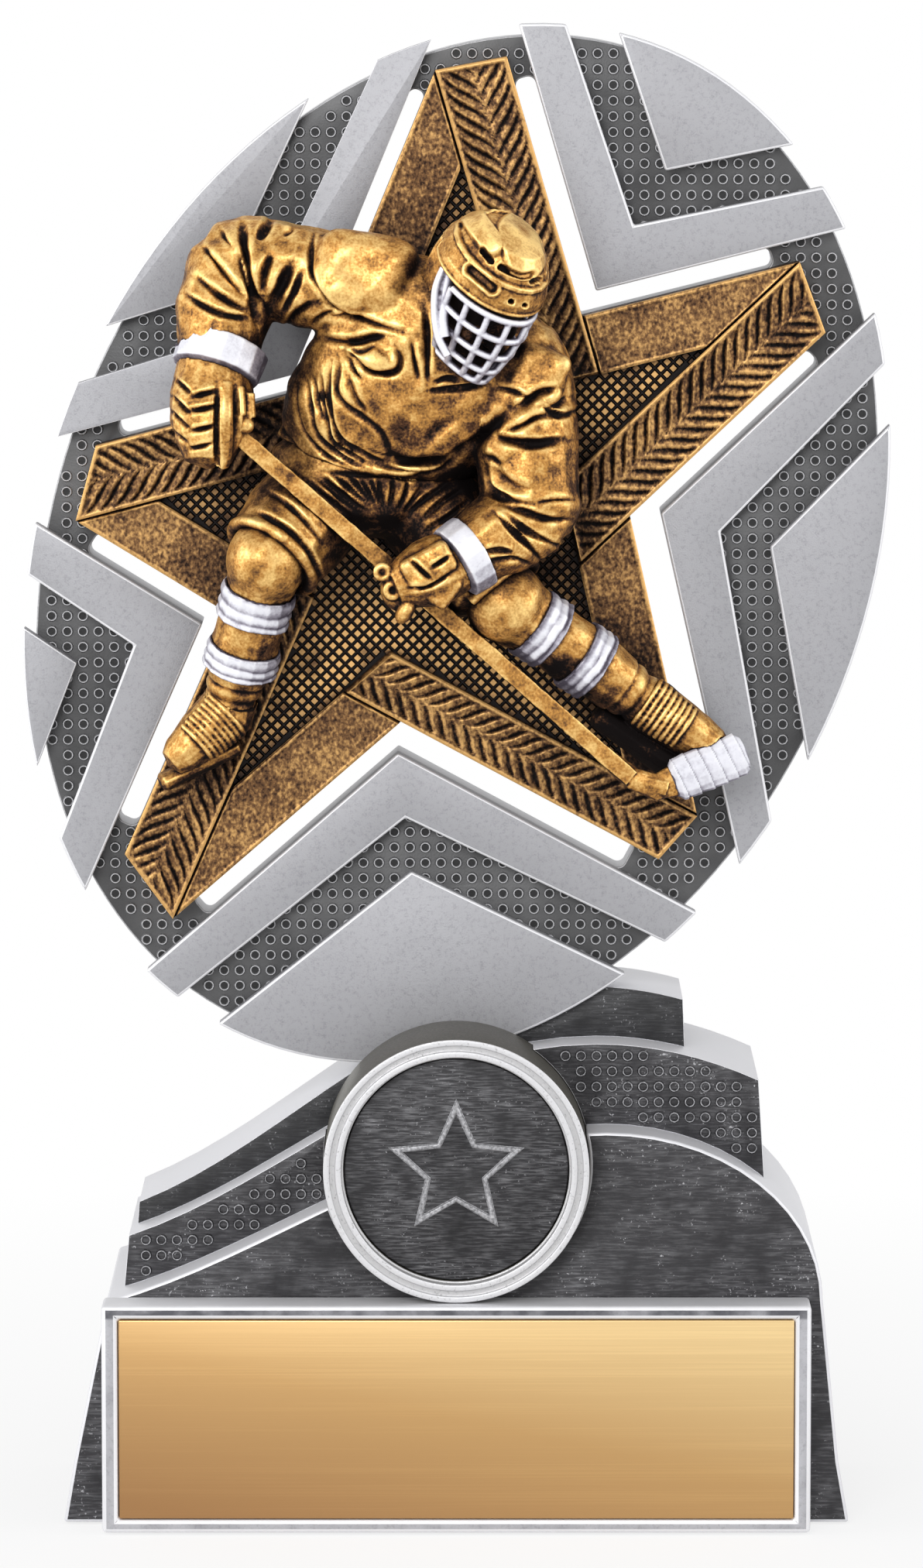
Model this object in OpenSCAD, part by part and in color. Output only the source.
// Star trophy: a stepped base with a name plate and a round medallion, an oval
// disc with five V-shaped windows, a five-armed star and an ice-hockey player.
// Millimetres. X runs to the right, Y to the back and Z up. The felt pad stands on Z = 0.

/* [Base] */
// Width of the plinth across its foot
base_w = 92.8; // [88:0.2:104]
// Depth of the base from the face of the name panel to the back
base_d = 41; // [37:0.5:48]
// Width of the name panel
panel_w = 83.2; // [79:0.2:85]
// Height of the name panel
panel_h = 27.1; // [25:0.1:30]
// How far the name panel stands in front of the plinth
panel_t = 6; // [4.5:0.1:7.5]
// Height of the highest point of the plinth
plinth_top = 47; // [43.5:0.1:50]
// Rise of the dotted tier above the plinth
tier_rise = 9.6; // [8:0.1:11]
// Rise of the cap tier above the dotted tier
cap_rise = 6; // [5:0.1:7.5]
// Depth of the ledge in front of each tier
ledge_d = 6; // [4.5:0.1:7]
// How much narrower the plinth gets from its foot to the top of the name panel, on each side
base_flare = 3.2; // [1.5:0.1:4]
// Thickness of the felt pad
pad_t = 1; // [0.6:0.1:2]

/* [Name plate] */
// Width of the name plate
plate_w = 79.2; // [70:0.2:80]
// Height of the name plate
plate_h = 23.7; // [19:0.1:24.5]
// Thickness of the name plate
plate_t = 0.8; // [0.4:0.1:1.5]
// Thickness of the tape behind the name plate
tape_t = 0.25; // [0.1:0.05:0.6]

/* [Medallion] */
// Outside diameter of the medallion collar
ring_d = 31.2; // [29.5:0.1:33]
// Diameter of the recess for a centre disc
recess_d = 27; // [25.4:0.1:28]
// Free depth of the recess in front of the insert's star
recess_free = 1.2; // [0.8:0.1:2]
// Thickness of the dark insert
insert_t = 1.2; // [0.8:0.1:2]
// Diameter of the circle through the points of the insert's star
insert_star_d = 16.4; // [12:0.1:20]

/* [Disc] */
// Long diameter of the oval
disc_long = 127; // [118:0.5:140]
// Short diameter of the oval
disc_short = 97; // [92:0.5:106]
// Lean of the oval's long diameter to the right, in degrees
disc_lean = 23; // [19:0.5:27]
// Thickness of the dark plate
disc_t = 6; // [4.5:0.1:8]
// How far the dark plate stays inside the oval's outline
rim_step = 1.4; // [0.6:0.1:2.2]
// Height of the silver chevrons and wedges above the dark plate
relief_h = 2.5; // [1.8:0.1:3.2]
// Depth of the disc's seat below the top of the cap tier
seat_d = 9; // [7.5:0.1:10]
// Width of the gap between the star and a chevron
window_w = 2.4; // [2:0.1:3]
// Width of a chevron
chevron_w = 6.4; // [5:0.1:7.5]
// Angle at which a chevron gets narrower toward its ends, in degrees
chevron_taper = 2.5; // [1:0.1:3.5]
// Width of the dark band between a chevron and a wedge
band_w = 5.3; // [4:0.1:6.5]

/* [Star] */
// Height of the star's border above the dark plate
star_t = 4; // [3:0.1:5]
// Width of the plain band on the left side of each arm, seen from its tip
plain_w = 7.1; // [6:0.1:8]
// How far the goal net lies below the star's border
net_drop = 2; // [1.2:0.1:2.5]

/* [Figure] */
// Height of the figure from the lower boot to the top of the helmet
figure_h = 69; // [64:0.5:74]
// Half width of the torso at the chest
chest_r = 13.5; // [12:0.1:15]
// Radius of a sleeve at the upper arm
sleeve_r = 6.3; // [5.6:0.1:7]
// Radius of a trouser leg
thigh_r = 6.6; // [5.8:0.1:7.4]
// Radius of a sock at the calf
calf_r = 4; // [3.5:0.1:4.5]
// Half width of the helmet
helmet_r = 6.6; // [6:0.1:7.2]
// Diameter of the wires of the face cage
wire_d = 0.85; // [0.6:0.05:1.1]
// Width of the stick's shaft
shaft_w = 2; // [1.6:0.05:2.4]
// Height of the stick's blade
blade_h = 4.6; // [3.6:0.1:5.6]
// Thickness of the cuffs, sock bands and blade tape
trim_t = 0.45; // [0.3:0.05:0.7]

/* [Fixings] */
// Diameter of the steel pins in the disc's edge
disc_pin_d = 2.4; // [1.6:0.1:3]
// Diameter of the steel pins behind the figure
figure_pin_d = 2; // [1.4:0.1:2.6]
// Gap around a pin in its hole
pin_gap = 0.05; // [0.02:0.01:0.1]
// Gap around a piece in its seat
fit_gap = 0.1; // [0.05:0.01:0.2]

/* [Hidden] */
$fn = 96;

// Base: depth planes from front to back and the heights of the steps
foot_gap = 0.3;
pad_in = 3;
panel_y = -base_d / 2;
plinth_y = panel_y + panel_t;
tier_y = plinth_y + ledge_d;
cap_y = tier_y + ledge_d;
back_y = base_d / 2;
tier_back = back_y - 3;
cap_back = back_y - 6;
panel_top = foot_gap + panel_h;
tier_top = plinth_top + tier_rise;
cap_top = tier_top + cap_rise;
half_w = base_w / 2;

// Medallion: it stands on the name panel and its collar ends on the bottom wedge
ring_r = ring_d / 2;
recess_r = recess_d / 2;
pocket_r = recess_r - 0.25;
star_line = 0.55;
star_line_h = 0.35;
ring_y = panel_y + panel_t / 4;
ring_z = panel_top + ring_r + fit_gap;
insert_y = ring_y + recess_free + star_line_h;

// Disc: its front stands a little behind the face of the cap tier
disc_y = cap_y + 1;
disc_back = disc_y + disc_t;
relief_y = disc_y - relief_h;
star_y = disc_y - star_t;
oval_a = disc_long / 2;
oval_b = disc_short / 2;
oval_half_h = sqrt(pow(oval_a * cos(disc_lean), 2) + pow(oval_b * sin(disc_lean), 2));
disc_z = cap_top - seat_d + oval_half_h;

// Star: notches and arms as the angle clockwise from the oval's long diameter and the
// share of its radius; an arm's third value is half the angle that its cut tip spans.
// Drift is how much farther out the V bars at a notch lie on its two sides.
notches = [[7, 0.49], [63, 0.40], [173, 0.34], [238, 0.523], [287.8, 0.515]];
arms = [[333, 0.94, 5], [39, 0.885, 5.2], [113.5, 0.845, 3.8], [204.5, 0.89, 6], [260, 0.905, 4.6]];
drift = [[0, 0], [0, 1.2], [1.2, 0.3], [0.1, 0.4], [-0.3, -0.6]];
window_end = 3;
window_round = 0.9;
far = 200;

// Figure: every place is measured from the middle of the star's face at a height of 69 mm
fig = figure_h / 69;
function at(x, y, z) = [x * fig, star_y + y * fig, disc_z + z * fig];

function unit(v) = v / norm(v);
function lerp(a, b, t) = a + (b - a) * t;

// Point on the oval's frame from a clockwise angle and a share of the radius
function oval(a, s) =
    let (u = oval_a * s * cos(a), v = oval_b * s * sin(a))
    [u * sin(disc_lean) + v * cos(disc_lean), u * cos(disc_lean) - v * sin(disc_lean)];

// Outline of the oval, moved inward by a set distance
function oval_ring(inset, n = 144) =
    [for (i = [0 : n - 1])
        let (a = 360 * i / n, u = (oval_a - inset) * cos(a), v = (oval_b - inset) * sin(a))
        [u * sin(disc_lean) + v * cos(disc_lean), u * cos(disc_lean) - v * sin(disc_lean)]];

// Corners of the star: notch k lies clockwise of arm k
function notch(k) = oval(notches[k][0], notches[k][1]);
function tip_near(k) = oval(arms[k][0] - arms[k][2], arms[k][1]);
function tip_far(k) = oval(arms[k][0] + arms[k][2], arms[k][1]);

// Directions of the two star edges that leave notch k
function edge_in(k) = unit(tip_far(k) - notch(k));
function edge_out(k) = unit(tip_near((k + 1) % 5) - notch(k));

// Where two lines meet, each given by a point and a direction
function meet(p, d, q, e) =
    let (w = q - p, det = d[0] * e[1] - d[1] * e[0])
    p + d * (w[0] * e[1] - w[1] * e[0]) / det;

// Direction v turned counter-clockwise by a degrees
function turn(v, a) = [v[0] * cos(a) - v[1] * sin(a), v[0] * sin(a) + v[1] * cos(a)];

// Corner of the V that runs at distance d outside the star's edges at notch k,
// and the same corner for the chevron and wedge, which drift a little
function v_meet(k, d_in, d_out) = meet(
    notch(k) - turn(edge_in(k), 90) * d_in, edge_in(k),
    notch(k) + turn(edge_out(k), 90) * d_out, edge_out(k));
function v_corner(k, d) = v_meet(k, d, d);
function v_drift(k, d) = v_meet(k, d + drift[k][0], d + drift[k][1]);

// Corners of the net: the clockwise band of each arm is as wide as its tip,
// and the other band is plain_w wide
function band_edge(k) = notch(k) - turn(edge_out(k), 90) * plain_w;
function net_tip(k) = meet(tip_near(k), edge_in(k), band_edge((k + 4) % 5), edge_out((k + 4) % 5));
function net_corner(k) = meet(tip_near(k), edge_in(k), band_edge(k), edge_out(k));

star_outline = [for (k = [0 : 4]) each [tip_near(k), tip_far(k), notch(k)]];
net_outline = [for (k = [0 : 4]) each [net_tip(k), net_corner(k)]];

// Outlines of the base steps in X and Z
function bez(a, b, c, d, t) =
    a * pow(1 - t, 3) + 3 * b * t * pow(1 - t, 2) + 3 * c * t * t * (1 - t) + d * pow(t, 3);
function ramp(a, crest, n = 16) =
    let (r = crest - a)
    [for (i = [0 : n])
        bez(a, a + [0.34 * r[0], 0.28 * r[1]], crest - [0.4 * r[0], 0], crest, i / n)];
function round_fall(crest, b, n = 14) =
    [for (i = [1 : n])
        [lerp(crest[0], b[0], sin(90 * i / n)), lerp(b[1], crest[1], cos(90 * i / n))]];
function slow_fall(crest, b, n = 8) =
    [for (i = [1 : n]) [lerp(crest[0], b[0], i / n), lerp(crest[1], b[1], pow(i / n, 2))]];

shoulder_w = half_w - base_flare;
crest_x = 0.38 * half_w;
plinth_outline = concat(
    [[-half_w, foot_gap], [-half_w + 0.4 * base_flare, lerp(foot_gap, panel_top, 0.27)]],
    ramp([-shoulder_w + 2, panel_top - 0.5], [crest_x, plinth_top]),
    round_fall([crest_x, plinth_top], [shoulder_w, panel_top - 0.5]),
    [[half_w - 0.4 * base_flare, lerp(foot_gap, panel_top, 0.27)], [half_w, foot_gap]]
);
tier_outline = concat(
    [[-shoulder_w + 2.6, foot_gap + panel_h / 2]],
    ramp([-shoulder_w + 4.4, panel_top + 0.65 * tier_rise], [crest_x - 1, tier_top]),
    slow_fall([crest_x - 1, tier_top], [0.77 * half_w, tier_top - 0.22 * plinth_top + 6]),
    [[0.82 * half_w, foot_gap + panel_h / 2]]
);
cap_outline = concat(
    [[-shoulder_w + 3.8, foot_gap + panel_h / 2]],
    ramp([-shoulder_w + 5.4, panel_top + 0.65 * tier_rise + 0.5 * cap_rise], [crest_x - 2, cap_top]),
    slow_fall([crest_x - 2, cap_top], [0.58 * half_w, cap_top - 1.6]),
    [[0.62 * half_w, foot_gap + panel_h / 2]]
);

// A flat outline in X and Z, given depth d forward from the plane y
module slab(y, d) {
    translate([0, y, 0]) rotate([90, 0, 0]) linear_extrude(d) children();
}

// A round bar along Y from the plane y forward by d
module bar_y(x, y, z, r, d) {
    translate([x, y, z]) rotate([90, 0, 0]) cylinder(r = r, h = d);
}

// A solid skinned over stations [centre, half width, half depth, width direction],
// with both ends domed
function frame(t, s) = let (w = unit(s - t * (s * t))) [w, cross(t, w)];
function ring(c, t, s, w, d, n) =
    let (f = frame(t, s))
    [for (i = [0 : n - 1]) c + f[0] * w * cos(360 * i / n) + f[1] * d * sin(360 * i / n)];
module skin(st, n = 16, dome = 0.6) {
    k = len(st);
    dir = [for (i = [0 : k - 1]) unit(st[min(i + 1, k - 1)][0] - st[max(i - 1, 0)][0])];
    h0 = dome * min(st[0][1], st[0][2]);
    h1 = dome * min(st[k - 1][1], st[k - 1][2]);
    a = st[0];
    b = st[k - 1];
    rings = concat(
        [ring(a[0] - dir[0] * h0 * 0.7, dir[0], a[3], a[1] * 0.72, a[2] * 0.72, n)],
        [for (i = [0 : k - 1]) ring(st[i][0], dir[i], st[i][3], st[i][1], st[i][2], n)],
        [ring(b[0] + dir[k - 1] * h1 * 0.7, dir[k - 1], b[3], b[1] * 0.72, b[2] * 0.72, n)]
    );
    m = len(rings);
    last = m * n + 1;
    polyhedron(
        concat([a[0] - dir[0] * h0], [for (r = rings) each r], [b[0] + dir[k - 1] * h1]),
        concat(
            [for (i = [0 : n - 1]) [0, 1 + i, 1 + (i + 1) % n]],
            [for (j = [0 : m - 2], i = [0 : n - 1]) each
                let (p = 1 + j * n + i, q = 1 + j * n + (i + 1) % n) [[p, q + n, q], [p, p + n, q + n]]],
            [for (i = [0 : n - 1]) [last, last - n + (i + 1) % n, last - n + i]]
        ),
        convexity = 6
    );
}

// A limb with round sections through places p with radii r
across = [1, 0, 0];
depth = [0, 1, 0];
module limb(p, r, s = depth, n = 16, dome = 0.6) {
    skin([for (i = [0 : len(p) - 1]) [p[i], r[i] * fig, r[i] * fig, s]], n, dome);
}

// Base pieces
module pad_shape(inset, z, h) {
    translate([-half_w + pad_in + inset, plinth_y + pad_in + inset, z])
        cube([base_w - 2 * (pad_in + inset), back_y - plinth_y - 2 * (pad_in + inset), h]);
}

module base_pad() {
    color("darkslategray") pad_shape(fit_gap, 0, pad_t);
}

module boss_pocket() {
    bar_y(0, relief_y + fit_gap, ring_z, ring_r + fit_gap, relief_y + fit_gap - ring_y + 1);
}

module disc_seat() {
    slab(disc_y + fit_gap, relief_h + ledge_d) translate([0, disc_z]) polygon(oval_ring(-fit_gap));
    slab(disc_back + fit_gap, disc_t + 2 * fit_gap)
        translate([0, disc_z]) polygon(oval_ring(rim_step - fit_gap));
}

module plinth_body() {
    slab(back_y, back_y - plinth_y) polygon(plinth_outline);
}

module plinth() {
    color("dimgray") difference() {
        plinth_body();
        pad_shape(0, -1, pad_t + 1);
        boss_pocket();
    }
}

module dotted_tier() {
    color("gray") difference() {
        slab(tier_back, tier_back - tier_y) polygon(tier_outline);
        plinth_body();
        boss_pocket();
        disc_seat();
        disc_pin_holes();
    }
}

module cap_tier() {
    color("dimgray") difference() {
        slab(cap_back, cap_back - cap_y) polygon(cap_outline);
        plinth_body();
        slab(tier_back, tier_back - tier_y) polygon(tier_outline);
        boss_pocket();
        disc_seat();
        disc_pin_holes();
    }
}

// Panel and plate: the plate lies on its tape in a shallow tray, just below the rim
tray_d = plate_t + tape_t + 0.15;
plate_z = foot_gap + panel_h / 2;

module plate_slab(y, d, grow) {
    slab(y, d) translate([-plate_w / 2 - grow, plate_z - plate_h / 2 - grow])
        square([plate_w + 2 * grow, plate_h + 2 * grow]);
}

module name_panel() {
    color("silver") difference() {
        slab(plinth_y, panel_t) translate([-panel_w / 2, foot_gap]) square([panel_w, panel_h]);
        plate_slab(panel_y + tray_d, tray_d + 1, fit_gap);
    }
}

module plate_tape() {
    color("white") plate_slab(panel_y + tray_d, tape_t, -1);
}

module name_plate() {
    color("goldenrod") plate_slab(panel_y + tray_d - tape_t, plate_t, 0);
}

// Medallion: a collar with a grooved rim and a recess, and an insert with a raised star line
groove = (ring_r - recess_r) / 3;

module medallion_boss() {
    depth_all = relief_y - ring_y;
    color("lightgray") translate([0, relief_y, ring_z]) rotate([90, 0, 0]) rotate_extrude() polygon([
        [0, 0], [ring_r, 0], [ring_r, depth_all],
        [ring_r - groove, depth_all], [ring_r - groove, depth_all - 0.3],
        [ring_r - 2 * groove, depth_all - 0.3], [ring_r - 2 * groove, depth_all],
        [recess_r, depth_all], [recess_r, depth_all - recess_free],
        [pocket_r, depth_all - recess_free], [pocket_r, depth_all - recess_free - star_line_h - insert_t],
        [0, depth_all - recess_free - star_line_h - insert_t]
    ]);
}

function five_star(r_out, r_in) =
    [for (i = [0 : 9]) let (r = i % 2 == 0 ? r_out : r_in) [r * sin(36 * i), r * cos(36 * i)]];

module medallion_insert() {
    r = insert_star_d / 2;
    color("dimgray") {
        bar_y(0, insert_y + insert_t, ring_z, pocket_r - fit_gap, insert_t);
        slab(insert_y, star_line_h) translate([0, ring_z]) difference() {
            polygon(five_star(r, 0.46 * r));
            polygon(five_star(r - 2.6 * star_line, 0.46 * r - 0.95 * star_line));
        }
    }
}

// Pins between base and disc, in the middle of the disc's thickness
disc_pin_x = [-3, 9];
disc_pin_y = disc_y + disc_t / 2;
disc_pin_z = cap_top - seat_d - 5;
disc_pin_l = 20;

module disc_pin(k, gap) {
    translate([disc_pin_x[k], disc_pin_y, disc_pin_z - gap])
        cylinder(d = disc_pin_d + 2 * gap, h = disc_pin_l + 2 * gap);
}

module disc_pin_holes() {
    disc_pin(0, pin_gap);
    disc_pin(1, pin_gap);
}

module disc_pin_left() {
    color("lightsteelblue") disc_pin(0, 0);
}

module disc_pin_right() {
    color("lightsteelblue") disc_pin(1, 0);
}

// Pins behind the figure: hip, right foot and left foot
hip_pin_at = at(-10.5, -5, 6);
right_pin_at = at(-29.5, -4.5, -22);
left_pin_at = at(21.5, -4.5, -17.5);

module figure_pin(p, gap) {
    end_y = disc_y + disc_t / 2;
    bar_y(p[0], end_y + gap, p[2], figure_pin_d / 2 + gap, end_y - p[1] + 2 * gap);
}

module figure_pin_holes() {
    figure_pin(hip_pin_at, pin_gap);
    figure_pin(right_pin_at, pin_gap);
    figure_pin(left_pin_at, pin_gap);
}

module hip_pin() {
    color("lightsteelblue") figure_pin(hip_pin_at, 0);
}

module right_foot_pin() {
    color("lightsteelblue") figure_pin(right_pin_at, 0);
}

module left_foot_pin() {
    color("lightsteelblue") figure_pin(left_pin_at, 0);
}

// Disc: a V-shaped window that fills the gap between the star and the chevron at notch k,
// with rounded corners at its two ends
function window_corner(p, d, a, w) =
    let (r = min(window_round, 0.45 * w), c = p + (turn(d, a) + turn(d, a + 90)) * r)
    [for (i = [0 : 6]) c - turn(d, a + 15 * i) * r];

module window_shape(k) {
    l_in = norm(tip_far(k) - notch(k)) - window_end;
    l_out = norm(tip_near((k + 1) % 5) - notch(k)) - window_end;
    w_in = window_w + drift[k][0];
    w_out = window_w + drift[k][1];
    end_in = notch(k) + edge_in(k) * l_in;
    end_out = notch(k) + edge_out(k) * l_out;
    polygon(concat(
        [notch(k)],
        window_corner(end_out, edge_out(k), 90, w_out),
        window_corner(end_out + turn(edge_out(k), 90) * w_out, edge_out(k), 180, w_out),
        [v_drift(k, window_w)],
        window_corner(end_in - turn(edge_in(k), 90) * w_in, edge_in(k), 90, w_in),
        window_corner(end_in, edge_in(k), 180, w_in)
    ));
}

module back_disc() {
    color("darkgray") difference() {
        translate([0, 0, disc_z]) slab(disc_back, disc_t) polygon(oval_ring(rim_step));
        for (k = [0 : 4]) translate([0, 0, disc_z]) slab(disc_back + 1, disc_t + 2) window_shape(k);
        disc_pin_holes();
        figure_pin_holes();
    }
}

module raised() {
    color("lightgray") intersection() {
        translate([0, 0, disc_z]) slab(disc_y, relief_h) children();
        translate([0, 0, disc_z]) slab(disc_y + 1, relief_h + 2) polygon(oval_ring(0));
    }
}

module chevron(k) {
    p = v_drift(k, window_w);
    q = v_drift(k, window_w + chevron_w);
    raised() polygon([
        p + edge_in(k) * far, p, p + edge_out(k) * far,
        q + turn(edge_out(k), -chevron_taper) * far, q, q + turn(edge_in(k), chevron_taper) * far
    ]);
}

module wedge(k) {
    p = v_drift(k, window_w + chevron_w + band_w);
    raised() polygon([
        p + turn(edge_in(k), chevron_taper) * far, p, p + turn(edge_out(k), -chevron_taper) * far
    ]);
}

module chevron_top_right() { chevron(0); }
module chevron_right() { chevron(1); }
module chevron_bottom() { chevron(2); }
module chevron_left() { chevron(3); }
module chevron_top_left() { chevron(4); }
module wedge_top_right() { wedge(0); }
module wedge_right() { wedge(1); }
module wedge_bottom() { wedge(2); }
module wedge_left() { wedge(3); }
module wedge_top_left() { wedge(4); }

// Star
module star_block() {
    translate([0, 0, disc_z]) slab(disc_y, star_t) polygon(star_outline);
}

module net_block(d) {
    translate([0, 0, disc_z]) slab(disc_y, d) polygon(net_outline);
}

module star_frame() {
    color("peru") difference() {
        star_block();
        translate([0, 1, 0]) net_block(star_t + 2);
        figure_pin_holes();
    }
}

module goal_net() {
    color("saddlebrown") difference() {
        net_block(star_t - net_drop);
        figure_pin_holes();
    }
}

// Everything on the disc that the figure may not enter
module disc_keepout() {
    difference() {
        star_block();
        net_block(far);
    }
    net_block(star_t - net_drop);
    figure_pin_holes();
}

// Figure: joints of the body. Right and left are the player's own.
r_shoulder = at(-11.5, -10, 31.2);
r_elbow = at(-25.8, -7.5, 34.2);
r_wrist = at(-28, -11.5, 22.6);
r_fist = at(-28.6, -14, 13.5);
l_shoulder = at(7, -9.8, 22.6);
l_elbow = at(9, -11.5, 5.4);
l_wrist = at(0.6, -14.6, 0.1);
l_fist = at(-3.6, -15.4, -1.6);
hips = at(-10, -5.4, 7.4);
r_hip = at(-15.8, -5.6, 6.6);
r_knee = at(-22, -11.2, -0.6);
r_ankle = at(-26.8, -4.8, -18.6);
l_hip = at(-3.4, -5.2, 5.6);
l_knee = at(5.8, -9.6, -5.6);
l_ankle = at(23, -4.8, -18.2);
head_at = at(3.6, -18.6, 32.4);
head_turn = [40, 0, 43];
// Height of the helmet rim in the head frame
rim_z = 2 * helmet_r / 6.6;

// Stick: a straight shaft from the top hand to the heel, then the curved blade
stick_top = at(-27.4, -14.4, 16.4);
stick_heel = at(20.4, -9.6, -26);
blade = [stick_heel, at(23.4, -8.4, -27.2), at(27, -7.4, -26), at(33.2, -6.2, -23.6)];
blade_up = [-0.35, 0, 0.94];

module shaft_form() {
    d = stick_heel - stick_top;
    translate(stick_top) rotate([0, acos(d[2] / norm(d)), atan2(d[1], d[0])])
        translate([-shaft_w / 2, -0.42 * shaft_w, 0]) cube([shaft_w, 0.84 * shaft_w, norm(d)]);
}

module blade_form(grow) {
    w = 0.36 * shaft_w + grow;
    skin([
        [blade[0], 0.28 * blade_h + grow, w, blade_up], [blade[1], 0.36 * blade_h + grow, w, blade_up],
        [blade[2], 0.47 * blade_h + grow, w, blade_up], [blade[3], 0.5 * blade_h + grow, w, blade_up]
    ], 14, 0.8);
}

module stick() {
    color("darkgoldenrod") {
        shaft_form();
        blade_form(0);
    }
}

module tape_form() {
    h = 0.49 * blade_h + trim_t;
    w = 0.36 * shaft_w + trim_t;
    skin([
        [lerp(blade[1], blade[2], 0.7), h, w, blade_up],
        [lerp(blade[2], blade[3], 0.3), h, w, blade_up],
        [lerp(blade[2], blade[3], 0.7), h, w, blade_up],
        [blade[3], h, w, blade_up]
    ], 14, 0.9);
}

module blade_tape() {
    color("whitesmoke") difference() {
        tape_form();
        blade_form(0);
    }
}

// Torso and trousers
torso = [
    [at(-9, -5.4, 12.4), 11.8, 7.2, [1, 0, -0.1]], [at(-8, -7.2, 15.6), 12.6, 7.6, [1, 0, -0.15]],
    [at(-6, -9, 19), 12.4, 7.6, [0.95, 0, -0.3]], [at(-2.7, -10, 24), chest_r, 7, [0.9, 0, -0.43]],
    [at(-0.6, -11, 28), 12.4, 6.4, [0.87, 0, -0.49]], [at(1.4, -11.6, 31), 7.5, 4.8, [0.87, 0, -0.49]]
];

module torso_form() {
    skin([for (s = torso) [s[0], s[1] * fig, s[2] * fig, s[3]]], 24, 0.3);
    limb([r_shoulder, lerp(r_shoulder, torso[4][0], 0.5)], [0.9 * sleeve_r, 5.8], depth, 16, 1);
    limb([l_shoulder, lerp(l_shoulder, torso[4][0], 0.5)], [0.9 * sleeve_r, 5.8], depth, 16, 1);
}

module jersey() {
    color("goldenrod") difference() {
        torso_form();
        disc_keepout();
    }
}

module pants_form() {
    skin([
        [hips - [0, 0, 2.4 * fig], 11.4 * fig, 6.8 * fig, across],
        [hips + [0, 0, 2 * fig], 12.2 * fig, 7.2 * fig, across],
        [hips + [0, 0, 5 * fig], 11.4 * fig, 6.8 * fig, across]
    ], 20, 0.5);
    limb([r_hip, lerp(r_hip, r_knee, 0.5), lerp(r_hip, r_knee, 0.82)],
        [thigh_r, thigh_r, 0.94 * thigh_r], depth, 16, 0.25);
    limb([l_hip, lerp(l_hip, l_knee, 0.5), lerp(l_hip, l_knee, 0.82)],
        [thigh_r, thigh_r, 0.9 * thigh_r], depth, 16, 0.25);
}

module pants() {
    color("darkgoldenrod") difference() {
        pants_form();
        torso_form();
        left_arm_form();
        left_cuff_form();
        left_glove_form();
        shaft_form();
        disc_keepout();
    }
}

// Arms
module right_arm_form() {
    limb([r_shoulder, lerp(r_shoulder, r_elbow, 0.5), r_elbow],
        [0.93 * sleeve_r, 0.93 * sleeve_r, 0.88 * sleeve_r], depth, 16, 0.8);
    limb([r_elbow, lerp(r_elbow, r_wrist, 0.5), lerp(r_elbow, r_wrist, 0.92)],
        [0.88 * sleeve_r, 0.9 * sleeve_r, 0.76 * sleeve_r], depth, 16, 0.5);
}

module left_arm_form() {
    limb([l_shoulder, lerp(l_shoulder, l_elbow, 0.5), l_elbow],
        [sleeve_r, 0.98 * sleeve_r, 0.9 * sleeve_r], depth, 16, 0.8);
    limb([l_elbow, lerp(l_elbow, l_wrist, 0.5), lerp(l_elbow, l_wrist, 0.95)],
        [0.86 * sleeve_r, 0.8 * sleeve_r, 0.66 * sleeve_r], depth, 16, 0.5);
}

module right_sleeve() {
    color("goldenrod") difference() {
        right_arm_form();
        torso_form();
    }
}

module left_sleeve() {
    color("goldenrod") difference() {
        left_arm_form();
        torso_form();
    }
}

// Cuffs: short bands around the ends of the sleeves
module right_cuff_form() {
    a = r_wrist + fig * [1.1, 0.9, 2.1];
    b = r_wrist + fig * [0.1, -0.3, -0.9];
    r = 0.78 * sleeve_r + trim_t;
    limb([a, lerp(a, b, 0.5), b], [r, r, 0.98 * r], depth, 16, 0.12);
}

module left_cuff_form() {
    a = lerp(l_elbow, l_wrist, 0.82);
    r = 0.66 * sleeve_r + trim_t;
    limb([a, lerp(a, l_wrist, 0.5), lerp(l_elbow, l_wrist, 1.08)], [r, r, 0.96 * r], depth, 16, 0.12);
}

module right_cuff() {
    color("whitesmoke") difference() {
        right_cuff_form();
        right_arm_form();
    }
}

module left_cuff() {
    color("whitesmoke") difference() {
        left_cuff_form();
        left_arm_form();
        shaft_form();
    }
}

// Gloves: closed hands around the shaft
module right_glove_form() {
    limb([r_wrist, lerp(r_wrist, r_fist, 0.4), lerp(r_wrist, r_fist, 0.75), r_fist],
        [4.3, 4.9, 4.7, 3.8], depth, 16, 0.8);
}

module left_glove_form() {
    limb([l_wrist, lerp(l_wrist, l_fist, 0.6), l_fist, lerp(l_wrist, l_fist, 1.5)],
        [3.6, 4.1, 4, 3.2], depth, 16, 0.7);
}

module right_glove() {
    color("goldenrod") difference() {
        right_glove_form();
        right_cuff_form();
        right_arm_form();
        shaft_form();
    }
}

module left_glove() {
    color("goldenrod") difference() {
        left_glove_form();
        left_cuff_form();
        left_arm_form();
        shaft_form();
    }
}

// Head in its own frame: the face looks along -Y, the crown points along +Z
module in_head() {
    translate(head_at) rotate(head_turn) scale(fig) children();
}

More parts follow.
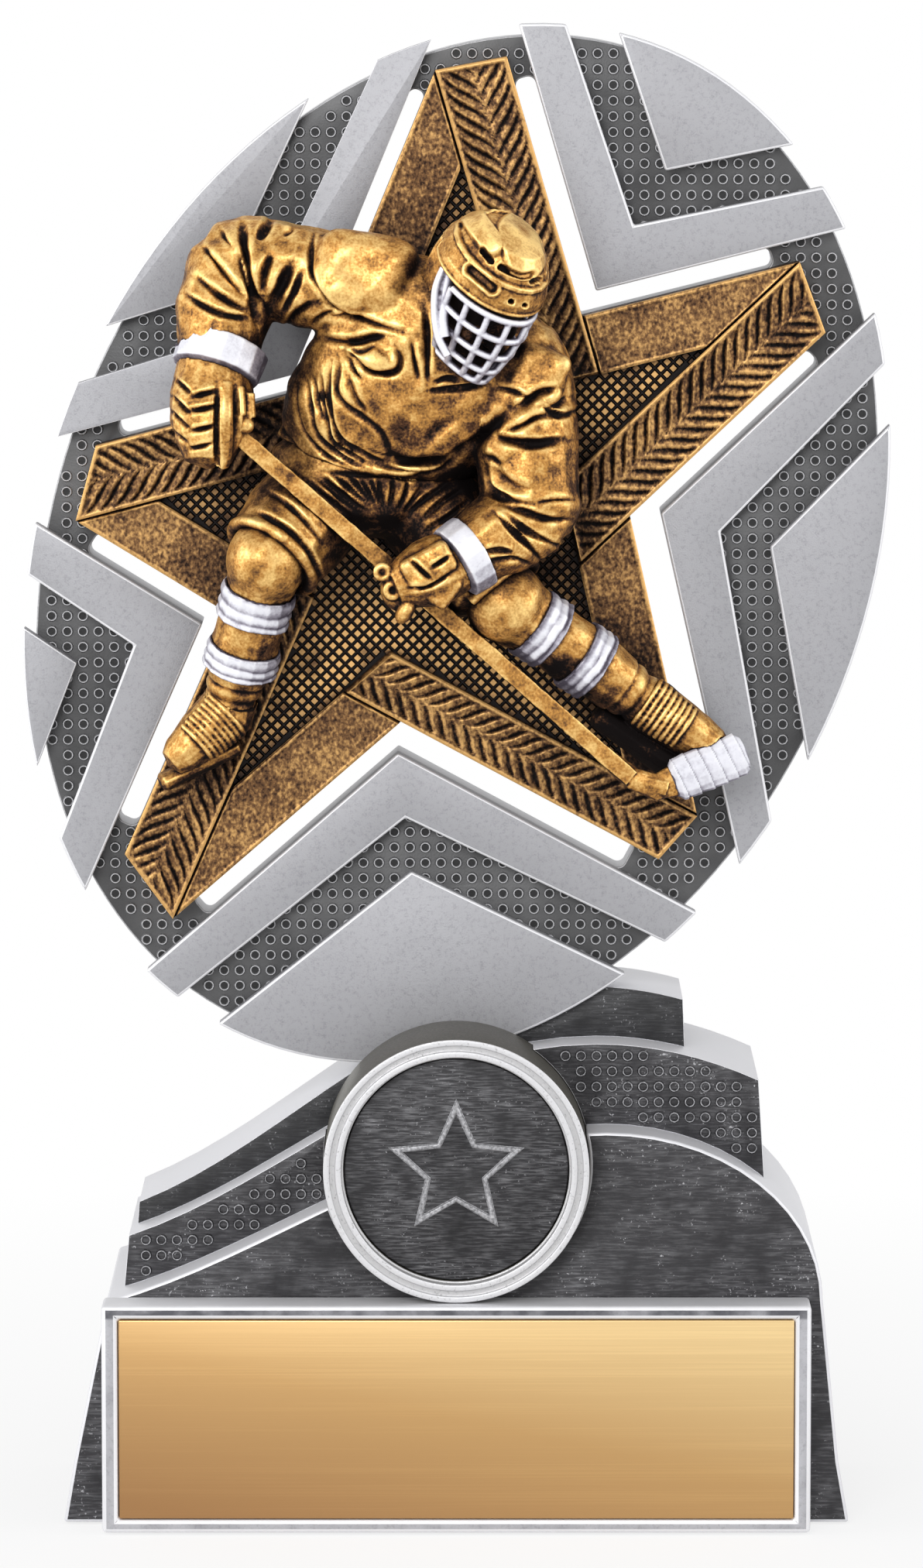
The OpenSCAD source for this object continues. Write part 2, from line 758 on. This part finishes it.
module head_form() {
    k = helmet_r / 6.6;
    in_head() {
        skin([
            [[0, -1.6, -8.4], 2.4 * k, 2.7 * k, across], [[0, -0.8, -6.2], 3.9 * k, 4.3 * k, across],
            [[0, -0.2, -3], 4.7 * k, 5.3 * k, across], [[0, 0, 1], 5.1 * k, 5.8 * k, across],
            [[0, 0.2, 4], 4.6 * k, 5.4 * k, across]
        ], 16, 0.5);
        skin([[[0, -5.2, -2.4], 0.6, 0.7, across], [[0, -5.5, -4.6], 0.9, 1, across]], 8, 0.6);
        skin([[[0, 1.4, -2.6], 3.2, 3.2, across], [[0, 4, -7], 3.4, 3.4, across]], 12, 0.4);
    }
}

module helmet_form() {
    r = helmet_r;
    in_head() difference() {
        skin([
            [[0, 0.6, -4.5], 0.95 * r, 1.08 * r, across], [[0, 0.4, -1], r, 1.14 * r, across],
            [[0, 0.3, 2.5], 0.97 * r, 1.12 * r, across], [[0, 0.3, 5.4], 0.78 * r, 0.92 * r, across]
        ], 20, 0.5);
        // The rim is level in front and at the sides; behind, a flap reaches down to the nape
        difference() {
            translate([-2 * r, -2 * r, rim_z - 3 * r]) cube([4 * r, 4 * r, 3 * r]);
            translate([-r / 2, 0.6 * r, -3 * r]) cube([r, 2 * r, 4 * r]);
        }
    }
}

module head() {
    color("burlywood") difference() {
        head_form();
        torso_form();
    }
}

module helmet() {
    color("goldenrod") difference() {
        helmet_form();
        head_form();
        torso_form();
    }
}

// Cage: wires on an egg-shaped front, upright ones at set angles and level ones at set heights
cage_top = rim_z + 0.6;
cage_low = -9.6;
function cage_at(a, z) =
    let (s = (cage_top - z) / (cage_top - cage_low))
    [
        0.98 * helmet_r * (1 - 0.44 * pow(s, 2.4)) * sin(a),
        0.6 - helmet_r * (1.1 + 0.5 * s * (1 - s)) * cos(a),
        z
    ];

module wire(p) {
    skin([for (q = p) [q, wire_d / 2, wire_d / 2, [0.3, 1, 0.2]]], 6, 0.2);
}

module cage_form() {
    in_head() {
        for (a = [-88, -63, -39, -15, 11, 37, 63, 88])
            wire([for (i = [0 : 7]) cage_at(a, lerp(cage_top, cage_low, i / 7))]);
        for (z = [0.7, -2.2, -4.9, -7.4, cage_low]) wire([for (a = [-88 : 22 : 88]) cage_at(a, z)]);
    }
}

module face_cage() {
    color("whitesmoke") difference() {
        cage_form();
        helmet_form();
        head_form();
        torso_form();
        left_arm_form();
    }
}

// Legs, with the knee pad's bulge and the sock bands
module right_leg_form() {
    limb([r_knee, lerp(r_knee, r_ankle, 0.25), lerp(r_knee, r_ankle, 0.55), r_ankle],
        [1.14 * calf_r, 0.94 * calf_r, calf_r, 0.74 * calf_r], depth, 16, 1);
}

module left_leg_form() {
    limb([l_knee, lerp(l_knee, l_ankle, 0.25), lerp(l_knee, l_ankle, 0.55), l_ankle],
        [1.14 * calf_r, 0.94 * calf_r, calf_r, 0.74 * calf_r], depth, 16, 1);
}

module band_form(a, b, t0, t1, r) {
    limb([lerp(a, b, t0), lerp(a, b, t1)], [r * calf_r + trim_t, r * calf_r + trim_t], depth, 16, 0.1);
}

module right_leg() {
    color("darkgoldenrod") difference() {
        right_leg_form();
        pants_form();
        disc_keepout();
    }
}

module left_leg() {
    color("darkgoldenrod") difference() {
        left_leg_form();
        pants_form();
        left_arm_form();
        left_cuff_form();
        left_glove_form();
        shaft_form();
        disc_keepout();
    }
}

module right_upper_band() {
    color("whitesmoke") difference() {
        band_form(r_knee, r_ankle, 0.17, 0.37, 1);
        right_leg_form();
        pants_form();
    }
}

module right_lower_band() {
    color("whitesmoke") difference() {
        band_form(r_knee, r_ankle, 0.55, 0.71, 1);
        right_leg_form();
    }
}

module left_upper_band() {
    color("whitesmoke") difference() {
        band_form(l_knee, l_ankle, 0.16, 0.31, 1);
        left_leg_form();
        pants_form();
        left_arm_form();
        shaft_form();
    }
}

module left_lower_band() {
    color("whitesmoke") difference() {
        band_form(l_knee, l_ankle, 0.47, 0.61, 1);
        left_leg_form();
        shaft_form();
    }
}

// Skates: boot, holder and runner in one casting
r_toe = at(-32.3, -6.4, -23.6);
r_runner = [at(-34.4, -3.6, -27.2), at(-26, -2, -23)];
l_toe = at(30, -4.8, -23);
l_runner = [at(16.9, -2.9, -19.3), at(26.7, -3.4, -26.1)];

module runner_form(ends, w, d) {
    v = ends[1] - ends[0];
    side = unit([-v[2], 0, v[0]]);
    skin([[ends[0], w * fig, d * fig, side], [ends[1], 1.1 * w * fig, 1.15 * d * fig, side]], 12, 0.5);
}

module right_skate() {
    color("goldenrod") difference() {
        union() {
            limb([lerp(r_knee, r_ankle, 0.9), r_ankle, lerp(r_ankle, r_toe, 0.55), r_toe],
                [3.2, 3.5, 3.1, 2.3], depth, 16, 0.9);
            runner_form(r_runner, 1.2, 2.7);
        }
        right_leg_form();
        disc_keepout();
    }
}

module left_skate() {
    color("goldenrod") difference() {
        union() {
            limb([lerp(l_knee, l_ankle, 0.9), l_ankle, lerp(l_ankle, l_toe, 0.5), l_toe],
                [3.1, 3.4, 3.1, 2.5], depth, 16, 0.8);
            runner_form(l_runner, 1.8, 2.6);
        }
        left_leg_form();
        shaft_form();
        blade_form(0);
        tape_form();
        disc_keepout();
    }
}

base_pad();
plinth();
dotted_tier();
cap_tier();
name_panel();
plate_tape();
name_plate();
medallion_boss();
medallion_insert();
disc_pin_left();
disc_pin_right();
back_disc();
chevron_top_right();
chevron_right();
chevron_bottom();
chevron_left();
chevron_top_left();
wedge_top_right();
wedge_right();
wedge_bottom();
wedge_left();
wedge_top_left();
star_frame();
goal_net();
jersey();
pants();
right_sleeve();
left_sleeve();
right_cuff();
left_cuff();
right_glove();
left_glove();
head();
helmet();
face_cage();
right_leg();
left_leg();
right_upper_band();
right_lower_band();
left_upper_band();
left_lower_band();
right_skate();
left_skate();
stick();
blade_tape();
hip_pin();
right_foot_pin();
left_foot_pin();
